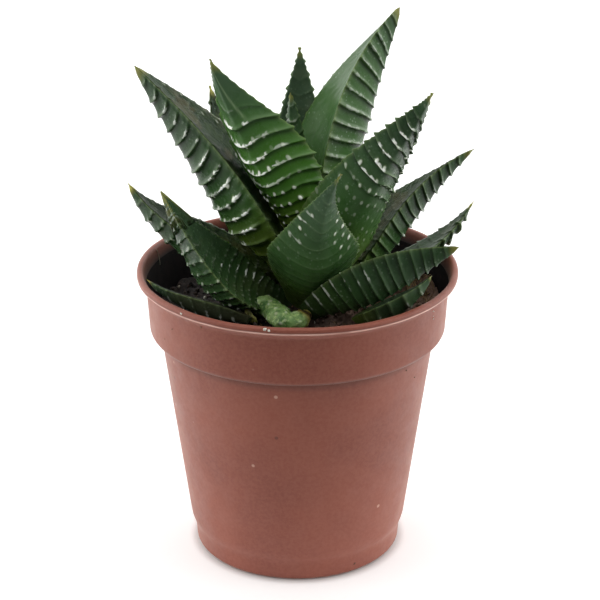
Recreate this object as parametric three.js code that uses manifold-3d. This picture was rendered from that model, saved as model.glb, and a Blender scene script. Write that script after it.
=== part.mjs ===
// Potted haworthia: a rosette of thick, cross-ridged leaves in a small nursery pot.
// Millimetres, +Z up. The origin is on the pot's axis, at the plane that its foot stands on.
// The plant's front, as usually seen, faces -Y.
import * as THREE from "three";
import { mergeVertices } from "three/addons/utils/BufferGeometryUtils.js";
import Module from "manifold-3d";

const wasm = await Module();
wasm.setup();

// Driving dimensions of the pot
const POT_HEIGHT = 56;
const RIM_RADIUS = 30;
const RIM_DEPTH = 1.1;
const COLLAR_TOP_RADIUS = 28.4;
const COLLAR_LOW_RADIUS = 27.8;
const COLLAR_DEPTH = 11.8;
const BODY_TOP_RADIUS = 25.8;
const BODY_LOW_RADIUS = 20.6;
const FOOT_RADIUS = 19.6;
const HEEL_HEIGHT = 4;
const WALL = 0.9;
const FLOOR = 1.2;
const DRAIN_RADIUS = 1.8;
const DRAIN_CIRCLE = 12.5;
const DRAINS = 5;
const POT_SIDES = 48;

// Driving dimensions of the filling
const GAP = 0.35;
const SOIL_LEVEL = 50.4;
const SOIL_DIP = 3.2;
const SOIL_SIDES = 36;
const STEM_RADIUS = 2.1;
const STEM_BOTTOM = 43;
const STEM_TOP = 59.6;

// Driving dimensions shared by all leaves
const RIDGE_SPACING = 2.7;
const RIDGE_HEIGHT = 0.42;
const RIDGE_BOW = 0.03;
const EDGE_HALF_THICKNESS = 0.32;
const CHANNEL = -0.1;
const LEAF_SIDES = 12;
const LEAF_GAP = 0.34;
const EVEN_OUT = 0.02;

// One entry for each leaf, in the order in which the leaves are laid: a later leaf gives way
// where its foot would run into an earlier one.
// foot and tip: the ends of the leaf; out: bearing that its back faces, degrees from +X;
// width: widest part; widest: where that is, from foot 0 to tip 1; waist: foot width / width;
// taper: [fullness, sharpness] of the run to the tip; deep: depth of the keel / width;
// bow and sway: how far the line of the leaf leaves the straight, at its lower and upper third,
// as a share of its length; roll: turn about its own line at foot and tip, degrees.
const LEAVES = [
  {
    name: "leaf_front_short", foot: [1.1, -5.1, 51.3], tip: [7.7, -18.8, 80.9], out: -78,
    width: 16.5, widest: 0.45, waist: 0.42, taper: [1.15, 1.47], deep: 0.33,
    bow: [-0.01, 0.08], sway: [-0.02, 0.16], roll: [-12, -2],
  },
  {
    name: "leaf_right_front_low", foot: [1.4, -11.6, 52.6], tip: [28.7, -17.6, 66.7], out: -18,
    width: 11, widest: 0.46, waist: 0.4, taper: [1.62, 0.87], deep: 0.55,
    bow: [-0.13, -0.1], sway: [0.015, -0.02], roll: [-22, -23],
  },
  {
    name: "leaf_left_front_low", foot: [-1, -5.5, 51.2], tip: [-24.1, -17.2, 77.1], out: 202,
    width: 13.5, widest: 0.39, waist: 0.28, taper: [1.47, 1.3], deep: 0.45,
    bow: [0.115, 0.07], sway: [-0.035, -0.035], roll: [-26, -29],
  },
  {
    name: "leaf_right_front_broad", foot: [4.8, -3.8, 52.9], tip: [23.3, -18.7, 95.7], out: -60,
    width: 15, widest: 0.25, waist: 0.34, taper: [1.6, 1.1], deep: 0.38,
    bow: [-0.185, -0.01], sway: [0.035, 0.01], roll: [-28, -24],
  },
  {
    name: "leaf_left_front_tall", foot: [1.6, -2.6, 57.5], tip: [-15.4, -9.8, 99.1], out: 238,
    width: 14, widest: 0.49, waist: 0.29, taper: [1.45, 1.18], deep: 0.42,
    bow: [-0.213, -0.008], sway: [-0.036, 0.013], roll: [24, 14],
  },
  {
    name: "leaf_left_tall", foot: [1.6, -1.4, 53.7], tip: [-29.5, 1.7, 94.4], out: 165,
    width: 15.9, widest: 0.335, waist: 0.35, taper: [1.8, 0.92], deep: 0.6,
    bow: [-0.18, -0.09], sway: [0.005, -0.004], roll: [-5, 12],
  },
  {
    name: "leaf_right_tall", foot: [2.1, 2.2, 59.8], tip: [18.6, 8.2, 103.5], out: 18,
    width: 15, widest: 0.45, waist: 0.31, taper: [1.66, 0.85], deep: 0.58,
    bow: [-0.217, -0.175], sway: [-0.008, 0.019], roll: [17, -28],
  },
  {
    name: "leaf_right_upper", foot: [6.1, 0.2, 52.5], tip: [32.8, 5.2, 77.3], out: 10,
    width: 12.2, widest: 0.35, waist: 0.35, taper: [1.36, 1.05], deep: 0.47,
    bow: [-0.113, -0.097], sway: [-0.027, -0.011], roll: [23, -32],
  },
  {
    name: "leaf_back_middle", foot: [-0.3, 3.6, 57.8], tip: [0.4, 12.8, 94.6], out: 88,
    width: 8.9, widest: 0.45, waist: 0.35, taper: [1.56, 1.14], deep: 0.42,
    bow: [0.01, 0.035], sway: [-0.023, 0.02], roll: [0, 0],
  },
  {
    name: "leaf_heart", foot: [0.7, 0.7, 60.6], tip: [-1.3, 0.4, 89.7], out: 250,
    width: 5.3, widest: 0.35, waist: 0.35, taper: [1.68, 0.93], deep: 0.42,
    bow: [-0.01, -0.01], sway: [-0.004, -0.018], roll: [0, 2],
  },
  {
    name: "leaf_left_outer", foot: [-3.6, 1.9, 54.3], tip: [-31, -2, 73.1], out: 186,
    width: 11.5, widest: 0.43, waist: 0.36, taper: [1.56, 1.11], deep: 0.46,
    bow: [-0.01, 0.107], sway: [0.002, -0.007], roll: [-8, 0],
  },
  {
    name: "leaf_right_back_low", foot: [7.3, -1.5, 51.4], tip: [33.6, 12.7, 64.1], out: 20,
    width: 9.3, widest: 0.4, waist: 0.32, taper: [1.27, 1.2], deep: 0.39,
    bow: [0.026, 0.123], sway: [0.02, 0.009], roll: [-9, -4],
  },
  {
    name: "leaf_back_left_tall", foot: [-2.7, 3.4, 56], tip: [-16.5, 15.3, 86.4], out: 145,
    width: 9.9, widest: 0.43, waist: 0.34, taper: [1.52, 1.07], deep: 0.42,
    bow: [0.026, 0.05], sway: [0.008, -0.006], roll: [-4, 0],
  },
  {
    name: "leaf_right_rim", foot: [10.1, -14.4, 51.7], tip: [24.1, -16, 60.5], out: -25,
    width: 7, widest: 0.43, waist: 0.35, taper: [1.52, 1.07], deep: 0.42,
    bow: [-0.015, 0.074], sway: [0, 0], roll: [1, -1],
  },
  {
    name: "leaf_left_rim", foot: [-8.5, -16.8, 52.6], tip: [-27.6, -8.2, 56.6], out: 190,
    width: 5.8, widest: 0.4, waist: 0.35, taper: [1.48, 1.11], deep: 0.42,
    bow: [-0.063, 0.078], sway: [0.003, 0.002], roll: [-3, 0],
  },
  {
    name: "leaf_back_low", foot: [-0.6, 4.6, 54.3], tip: [-5.9, 23.2, 74.3], out: 101,
    width: 10.7, widest: 0.44, waist: 0.33, taper: [1.5, 1.1], deep: 0.4,
    bow: [-0.005, 0.026], sway: [0, 0], roll: [-2, 0],
  },
  {
    name: "leaf_back_outer", foot: [1.7, 4.9, 52.4], tip: [6, 30.8, 73.1], out: 76,
    width: 11, widest: 0.42, waist: 0.35, taper: [1.5, 1.1], deep: 0.42,
    bow: [0.044, 0.048], sway: [-0.004, -0.003], roll: [0, 0],
  },
  {
    name: "leaf_back_right_low", foot: [7.2, 4.3, 52.3], tip: [15.6, 26, 65.3], out: 55,
    width: 9.8, widest: 0.43, waist: 0.34, taper: [1.5, 1.1], deep: 0.42,
    bow: [0.04, 0.052], sway: [0.01, 0.005], roll: [-4, -1],
  },
  {
    name: "leaf_back_left_low", foot: [-3.2, 4.2, 52.1], tip: [-13.1, 25, 71], out: 122,
    width: 11, widest: 0.42, waist: 0.34, taper: [1.5, 1.1], deep: 0.42,
    bow: [0.04, 0.05], sway: [0.004, 0.002], roll: [3, 1],
  },
];

// The curled stump of a shed leaf, lying on the soil in front
const STUB_LINE = [
  [-7.8, -10, 52.2], [-5.7, -12.2, 52.9], [-4, -14.7, 52.8], [-2.8, -17.1, 52.5],
  [-1.1, -17.8, 52.3], [0.5, -16.2, 52.2], [1.6, -13.4, 52],
];
const STUB_HALF_WIDTH = 2;
const STUB_HALF_THICKNESS = 1.7;
const STUB_SIDES = 10;
const STUB_STEPS = 16;

const PLASTIC = new THREE.MeshStandardMaterial({ color: 0x9c5f50, roughness: 0.6, metalness: 0 });
const EARTH = new THREE.MeshStandardMaterial({ color: 0x2c211c, roughness: 1, metalness: 0 });
const STALK = new THREE.MeshStandardMaterial({ color: 0x6d7446, roughness: 0.6, metalness: 0 });
const LEAF_GREEN = new THREE.MeshStandardMaterial({ color: 0x2f5a34, roughness: 0.4, metalness: 0 });
const STUB_GREEN = new THREE.MeshStandardMaterial({ color: 0x86a374, roughness: 0.5, metalness: 0 });

const clamp = (value, low, high) => Math.min(Math.max(value, low), high);
const mix = (a, b, share) => a + (b - a) * share;
const radians = (degrees) => (degrees * Math.PI) / 180;

// Geometry and solids
function solidOf(geometry) {
  const bare = geometry.clone();
  bare.deleteAttribute("normal");
  bare.deleteAttribute("uv");
  const merged = mergeVertices(bare, 1e-5);
  return new wasm.Manifold(new wasm.Mesh({
    numProp: 3,
    vertProperties: new Float32Array(merged.attributes.position.array),
    triVerts: new Uint32Array(merged.index.array),
  }));
}

function geometryOf(solid) {
  const mesh = solid.getMesh();
  const geometry = new THREE.BufferGeometry();
  geometry.setAttribute("position", new THREE.BufferAttribute(mesh.vertProperties, 3));
  geometry.setIndex(new THREE.BufferAttribute(mesh.triVerts, 1));
  geometry.computeVertexNormals();
  return geometry;
}

// A cut can leave loose scraps and slivers: only the main body of a piece is kept, evened out
function mainBody(solid) {
  const bodies = solid.simplify(EVEN_OUT).decompose();
  return bodies.reduce((best, body) => (body.volume() > best.volume() ? body : best));
}

// A closed skin over rings of points, each ring going the same way round
function skin(rings, firstPoint, lastPoint) {
  const sides = rings[0].length;
  const points = [...rings.flat(), firstPoint, lastPoint];
  const first = rings.length * sides;
  const faces = [];
  for (let row = 0; row + 1 < rings.length; row += 1) {
    for (let side = 0; side < sides; side += 1) {
      const next = (side + 1) % sides;
      const a = row * sides + side;
      const b = row * sides + next;
      faces.push(a, b, b + sides, a, b + sides, a + sides);
    }
  }
  const lastRow = first - sides;
  for (let side = 0; side < sides; side += 1) {
    const next = (side + 1) % sides;
    faces.push(next, side, first);
    faces.push(lastRow + side, lastRow + next, first + 1);
  }
  const geometry = new THREE.BufferGeometry();
  const flat = points.flatMap((point) => [point.x, point.y, point.z]);
  geometry.setAttribute("position", new THREE.Float32BufferAttribute(flat, 3));
  geometry.setIndex(faces);
  geometry.computeVertexNormals();
  return geometry;
}

// A profile of [radius, height] pairs, turned about the Z axis
function turned(profile, sides) {
  const points = profile.map(([radius, height]) => new THREE.Vector2(radius, height));
  const geometry = new THREE.LatheGeometry(points, sides);
  geometry.rotateX(Math.PI / 2);
  return geometry;
}

// The pot
const COLLAR_FOOT = POT_HEIGHT - COLLAR_DEPTH;
const BODY_TOP = COLLAR_FOOT - 0.8;

function pot() {
  const rimFoot = POT_HEIGHT - RIM_DEPTH;
  const profile = [
    [0, 0],
    [FOOT_RADIUS - 0.5, 0],
    [FOOT_RADIUS, 0.6],
    [FOOT_RADIUS + 0.25, HEEL_HEIGHT],
    [BODY_LOW_RADIUS, HEEL_HEIGHT + 1.3],
    [BODY_TOP_RADIUS, BODY_TOP],
    [BODY_TOP_RADIUS + 0.4, BODY_TOP + 0.35],
    [COLLAR_LOW_RADIUS - 0.3, COLLAR_FOOT - 0.2],
    [COLLAR_LOW_RADIUS, COLLAR_FOOT + 0.2],
    [COLLAR_TOP_RADIUS, rimFoot - 1.1],
    [RIM_RADIUS - 0.1, rimFoot],
    [RIM_RADIUS, POT_HEIGHT - 0.45],
    [RIM_RADIUS - 0.35, POT_HEIGHT],
    [RIM_RADIUS - 1, POT_HEIGHT],
    [RIM_RADIUS - 1.3, POT_HEIGHT - 0.5],
    [COLLAR_LOW_RADIUS - WALL, COLLAR_FOOT + 1],
    [BODY_TOP_RADIUS - WALL, BODY_TOP + 1],
    [BODY_LOW_RADIUS - WALL, HEEL_HEIGHT + 1.5],
    [FOOT_RADIUS + 0.25 - WALL, HEEL_HEIGHT + 0.2],
    [FOOT_RADIUS - 0.5 - WALL, FLOOR],
    [0, FLOOR],
  ];
  let solid = solidOf(turned(profile, POT_SIDES));
  for (let hole = 0; hole < DRAINS; hole += 1) {
    const bearing = ((hole + 0.5) / DRAINS) * 2 * Math.PI;
    const drill = new THREE.CylinderGeometry(DRAIN_RADIUS, DRAIN_RADIUS, 4 * FLOOR, 12);
    drill.rotateX(Math.PI / 2);
    drill.translate(DRAIN_CIRCLE * Math.cos(bearing), DRAIN_CIRCLE * Math.sin(bearing), 0);
    solid = solid.subtract(solidOf(drill));
  }
  return solid;
}

// Leaves: the line of a leaf is a cubic curve, with a frame that turns evenly along it
function leafLine(leaf) {
  const foot = new THREE.Vector3(...leaf.foot);
  const tip = new THREE.Vector3(...leaf.tip);
  const chord = tip.clone().sub(foot);
  const length = chord.length();
  const along = chord.clone().normalize();
  const bearing = radians(leaf.out);
  const inward = new THREE.Vector3(-Math.cos(bearing), -Math.sin(bearing), 1);
  const up = inward.addScaledVector(along, -inward.dot(along)).normalize();
  const across = along.clone().cross(up);
  const handle = (share, bow, sway) => foot.clone()
    .addScaledVector(chord, share)
    .addScaledVector(up, -bow * length)
    .addScaledVector(across, sway * length);
  const curve = new THREE.CubicBezierCurve3(
    foot,
    handle(0.34, leaf.bow[0], leaf.sway[0]),
    handle(0.7, leaf.bow[1], leaf.sway[1]),
    tip,
  );
  return { curve, up, length };
}

function leafFrame(leaf, line, share) {
  const place = line.curve.getPoint(share);
  const along = line.curve.getTangent(share);
  const plainUp = line.up.clone().addScaledVector(along, -line.up.dot(along)).normalize();
  const plainAcross = along.clone().cross(plainUp);
  const roll = radians(mix(leaf.roll[0], leaf.roll[1], share));
  const up = plainUp.clone().multiplyScalar(Math.cos(roll)).addScaledVector(plainAcross, Math.sin(roll));
  const across = plainAcross.multiplyScalar(Math.cos(roll)).addScaledVector(plainUp, -Math.sin(roll));
  return { place, up, across };
}

// Width at a share of the length, as a share of the full width
function outline(leaf, share) {
  if (share < leaf.widest) {
    const rise = Math.sin((share / leaf.widest) * (Math.PI / 2)) ** 1.15;
    return mix(leaf.waist, 1, rise);
  }
  const run = clamp((share - leaf.widest) / (1 - leaf.widest), 0, 1);
  return (1 - run ** leaf.taper[0]) ** leaf.taper[1];
}

// One point of the section: a shallow channel on the upper side, a keel on the back
function sectionPoint(leaf, share, angle, raise) {
  const half = Math.max((leaf.width / 2) * outline(leaf, share), 0.12);
  const x = Math.cos(angle);
  const size = Math.abs(x);
  const upper = Math.sin(angle) > 1e-9;
  const fullness = 1.9 - 0.65 * clamp((share - 0.25) / 0.6, 0, 1);
  const keel = leaf.deep * 2 * half * (0.9 + 0.25 * (1 - share));
  const channel = CHANNEL * 2 * half;
  const edge = Math.min(EDGE_HALF_THICKNESS, 0.5 * half) * Math.sqrt(1 - Math.min(x * x, 1));
  const height = upper ? channel * (1 - x * x) + edge : -(keel * (1 - size ** fullness) + edge);
  // Ridges and gaps are raised square to the surface, and sideways at the margin
  const slope = upper
    ? 2 * channel * x
    : keel * fullness * size ** (fullness - 1) * Math.sign(x);
  const steep = Math.hypot(slope, half);
  const margin = size ** 8;
  const outAcross = (slope / steep) * (1 - margin) + Math.sign(x) * margin;
  const outUp = (upper ? 1 : -1) * (half / steep) * (1 - margin);
  return { across: half * x + outAcross * raise, up: height + outUp * raise };
}

// The skin of a leaf. A fine one has a row of points on each ridge and in each furrow; a plain one
// is the envelope of the ridges, grown by a gap, which cuts the pieces that it would run into.
function leafGeometry(leaf, fine) {
  const line = leafLine(leaf);
  const ridges = Math.max(4, Math.round(line.length / RIDGE_SPACING));
  const rows = fine ? 2 * ridges : Math.round(0.7 * ridges);
  const grow = fine ? 0 : LEAF_GAP;
  const rings = [];
  for (let row = 0; row <= rows; row += 1) {
    const run = row / rows;
    const crest = fine && row % 2 === 1 ? 0 : 1;
    const fade = clamp(run * 6, 0, 1) * clamp((1 - run) * 5, 0.15, 1);
    const ring = [];
    for (let side = 0; side < LEAF_SIDES; side += 1) {
      const angle = (-side / LEAF_SIDES) * 2 * Math.PI;
      const x = Math.cos(angle);
      const bowed = RIDGE_BOW * (1 - x * x) * clamp(5 * run * (1 - run), 0, 1);
      const share = clamp(run * (0.8 + 0.2 * run) - bowed, 0, 1);
      const weight = Math.sin(angle) > 1e-9 ? 0.7 : 1;
      const raise = grow + RIDGE_HEIGHT * crest * fade * weight;
      const frame = leafFrame(leaf, line, share);
      const point = sectionPoint(leaf, share, angle, raise);
      ring.push(frame.place.clone()
        .addScaledVector(frame.across, point.across)
        .addScaledVector(frame.up, point.up));
    }
    rings.push(ring);
  }
  const start = line.curve.getPoint(0).addScaledVector(line.curve.getTangent(0), -grow - 0.2);
  const end = line.curve.getPoint(1).addScaledVector(line.curve.getTangent(1), grow + 0.2);
  return skin(rings, start, end);
}

// The stub: an oval bar along a curled line, a little lumpy and shrunk at both ends
function stubGeometry(grow) {
  const line = new THREE.CatmullRomCurve3(STUB_LINE.map((point) => new THREE.Vector3(...point)));
  const rings = [];
  for (let step = 0; step <= STUB_STEPS; step += 1) {
    const share = step / STUB_STEPS;
    const place = line.getPoint(share);
    const along = line.getTangent(share);
    const side = new THREE.Vector3(0, 0, 1).cross(along).normalize();
    const up = along.clone().cross(side);
    const body = 0.8 + 0.2 * Math.sin(Math.PI * share) ** 0.6;
    const full = body * (1 - 0.35 * share ** 3) + 0.05 * Math.sin(17 * share);
    const ring = [];
    for (let turn = 0; turn < STUB_SIDES; turn += 1) {
      const angle = (turn / STUB_SIDES) * 2 * Math.PI;
      const wide = (STUB_HALF_WIDTH * full + grow) * Math.cos(angle);
      const thick = (STUB_HALF_THICKNESS * full + grow) * Math.sin(angle);
      ring.push(place.clone().addScaledVector(side, wide).addScaledVector(up, thick));
    }
    rings.push(ring);
  }
  const start = line.getPoint(0).addScaledVector(line.getTangent(0), -grow - 0.3);
  const end = line.getPoint(1).addScaledVector(line.getTangent(1), grow + 0.3);
  return skin(rings, start, end);
}

function stemGeometry(grow) {
  const profile = [
    [0, STEM_BOTTOM - grow],
    [STEM_RADIUS - 0.5 + grow, STEM_BOTTOM - grow],
    [STEM_RADIUS + grow, STEM_BOTTOM + 2],
    [STEM_RADIUS + grow, STEM_TOP - 4],
    [STEM_RADIUS - 0.5 + grow, STEM_TOP + grow],
    [0, STEM_TOP + grow],
  ];
  return turned(profile, 16);
}

// Soil: fills the pot with a small gap, lower on the left, with a crumbly top
function soilHeight(x, y) {
  const toLeft = clamp((0.3 * y - 0.95 * x - 5) / 21, 0, 1);
  const dip = SOIL_DIP * toLeft * toLeft * (3 - 2 * toLeft);
  const crumbs = 0.28 * Math.sin(1.3 * x + 0.4 * y) + 0.22 * Math.sin(1.7 * y - 0.6 * x + 1)
    + 0.16 * Math.sin(2.9 * x + 2.3 * y);
  return SOIL_LEVEL - dip + crumbs;
}

function soilGeometry() {
  const sideRadius = COLLAR_LOW_RADIUS - WALL - GAP;
  const bottom = FLOOR + GAP;
  const below = [
    [FOOT_RADIUS - 0.5 - WALL - GAP, bottom],
    [FOOT_RADIUS + 0.25 - WALL - GAP, HEEL_HEIGHT + 0.4],
    [BODY_LOW_RADIUS - WALL - GAP, HEEL_HEIGHT + 1.8],
    [BODY_TOP_RADIUS - WALL - GAP, BODY_TOP + 1.2],
    [sideRadius, COLLAR_FOOT + 1.4],
  ];
  const ringAt = (radius, height) => {
    const ring = [];
    for (let side = 0; side < SOIL_SIDES; side += 1) {
      const angle = (side / SOIL_SIDES) * 2 * Math.PI;
      const x = radius * Math.cos(angle);
      const y = radius * Math.sin(angle);
      ring.push(new THREE.Vector3(x, y, height ?? soilHeight(x, y)));
    }
    return ring;
  };
  const rings = below.map(([radius, height]) => ringAt(radius, height));
  for (const radius of [sideRadius, 23.5, 20, 16.5, 13, 10, 7, 4]) {
    rings.push(ringAt(radius));
  }
  return skin(rings, new THREE.Vector3(0, 0, bottom), new THREE.Vector3(0, 0, soilHeight(0, 0)));
}

// Assembly: front leaves are whole, and what stands behind or below them gives way
const plant = new THREE.Group();

function addPiece(name, solid, material) {
  const mesh = new THREE.Mesh(geometryOf(solid), material);
  mesh.name = name;
  plant.add(mesh);
}

const grownStem = solidOf(stemGeometry(LEAF_GAP));
const earlier = [];
for (const leaf of LEAVES) {
  let solid = solidOf(leafGeometry(leaf, true)).subtract(grownStem);
  for (const other of earlier) {
    solid = solid.subtract(other);
  }
  addPiece(leaf.name, mainBody(solid), LEAF_GREEN);
  earlier.push(solidOf(leafGeometry(leaf, false)));
}

let stub = solidOf(stubGeometry(0));
for (const other of earlier) {
  stub = stub.subtract(other);
}
addPiece("leaf_stub", mainBody(stub), STUB_GREEN);

let soil = solidOf(soilGeometry()).subtract(grownStem).subtract(solidOf(stubGeometry(LEAF_GAP)));
for (const other of earlier) {
  soil = soil.subtract(other);
}
addPiece("soil", mainBody(soil), EARTH);
addPiece("stem", solidOf(stemGeometry(0)), STALK);
addPiece("pot", pot(), PLASTIC);

export default plant;
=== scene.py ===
# Potted haworthia, dressed over its CAD frame. Lengths are in millimetres until a mesh is made.
import math

import bpy
import numpy as np
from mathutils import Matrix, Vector


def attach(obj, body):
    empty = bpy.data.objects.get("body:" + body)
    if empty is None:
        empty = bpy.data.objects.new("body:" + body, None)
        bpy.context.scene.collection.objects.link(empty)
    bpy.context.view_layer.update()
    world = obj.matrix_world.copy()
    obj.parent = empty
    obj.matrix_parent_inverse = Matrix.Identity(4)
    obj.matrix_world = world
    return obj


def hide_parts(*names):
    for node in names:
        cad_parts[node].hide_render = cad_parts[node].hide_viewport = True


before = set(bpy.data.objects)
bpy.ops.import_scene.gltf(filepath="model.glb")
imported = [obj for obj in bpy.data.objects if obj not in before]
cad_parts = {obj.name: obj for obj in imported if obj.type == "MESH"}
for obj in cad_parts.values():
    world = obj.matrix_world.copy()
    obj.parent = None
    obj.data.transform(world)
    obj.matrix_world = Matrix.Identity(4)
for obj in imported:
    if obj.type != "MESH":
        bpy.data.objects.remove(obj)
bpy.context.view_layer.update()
rng = np.random.default_rng(11)

MM = 0.001

# Heights and radii of the pot, the soil and the stem
POT_HEIGHT = 56
POT_FLOOR = 1.2
COLLAR_FOOT = 44.1
LIP_LINE = 54.97
SOIL_LEVEL = 50.4
SOIL_DIP = 3.2
SOIL_RADIUS = 26.55
SOIL_FOOT = 1.55
STEM_FOOT = 43
STEM_TOP = 59.6

# The leaves. The channel is the depth of the upper side as a share of the leaf's width, and the
# scatter of the beads and the offset of the painted highlights on the lips are shares of the
# spacing of the ridges.
RIDGE_SPACING = 2.7
RIDGE_HEIGHT = 0.75
EDGE_HALF_THICKNESS = 0.32
CHANNEL = -0.1
BEAD_GAP = 1.6
BEAD_SCATTER = 0.3
LIP_OFFSET = 0.015

# What lies on the soil, and how far the floor reaches
CRUMBS = 1200
FIBRES = 110
TANGLED_ROOTS = 60
ROOTLET_TOP = (-0.31, -0.22, -0.92)
FLOOR_REACH = 3000

# The camera: its place, how far it looks down, and its frame in pixels, with the column of the
# frame on which the pot's axis lies
CAMERA_PLACE = (0, -391.7, 214.2)
CAMERA_DOWN = math.radians(22.86)
FOCAL_PIXELS = 2258
FRAME_PIXELS = 600
AXIS_COLUMN = 297.3
SENSOR = 36.0

# Looks of a leaf, where it differs from these. Shares are of the leaf's length from its foot, and
# x runs across the leaf from -1 to 1.
# first, pitch, stretch: where along the leaf its ridges lie
# lean, bow, hook: how the lines of the ridges bend over x
# span: the part of x that the ridges cross
# calm: the x and the share beyond which the skin has hardly any ridges
# ridge, upper_ridge: how high the ridges are, in all and on the upper side
# bead_below, bead_side: where ridges break up into beads: below which share, and on which side
# bead_white, bead_rise: how white and how high the beads are
# smooth_below, smooth_above: the shares beyond which there are no ridges
# lively, lively_to: how lively the green is, and up to which share
# yellow, dull, brown_tip: how yellow the foot, how dull the upper side and how brown the tip is
# worn: how brown and dull the whole leaf is, but for its tip
# light: painted light, how much paler the skin is, over the whole leaf and more towards the tip
# pale, keel_line: how pale the tops of the ridges are, and the line of the keel near the tip
# fleck, stipple: how many pale dots there are on the smooth parts, and fine ones all over
# gleams: where painted highlights lie on the ridge tops: the middle and half width in x, how
# bright, and from which share to which
# dotty: the share below which the painted highlights are rows of dots
# ticks: short painted highlights on the upper side: x at half the length, its change along the
# leaf, the half width, how bright, and from which share to which
# warts: rows of warts on both sides of the keel: from which share to which, from which x on, and
# how strong
# sides: how many points go round the leaf
PLAIN_LOOK = dict(
    ridge=1.0, first=0.0, pitch=0.0, stretch=0.0, lean=0.0, bow=0.03, hook=0.0, span=(-1.5, 1.5),
    bead_below=0.0, bead_side=0, smooth_below=0.0, smooth_above=1.0, lively=0.25, lively_to=0.5,
    yellow=0.5, pale=0.35, keel_line=0.0, dull=0.6, brown_tip=0.4, fleck=0.0, upper_ridge=0.15,
    gleams=((0.0, 0.6, 0.25, 0.0, 1.0),), warts=(0.0, 0.0, 0.0, 0.0), light=(0.0, 0.0),
    calm=(2.0, 0.0), stipple=0.25, dotty=0.0, ticks=(0.0, 0.0, 0.0, 0.0, 0.0, 1.0), bead_white=1.0,
    bead_rise=1.0, worn=0.0, sides=44,
)

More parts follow.
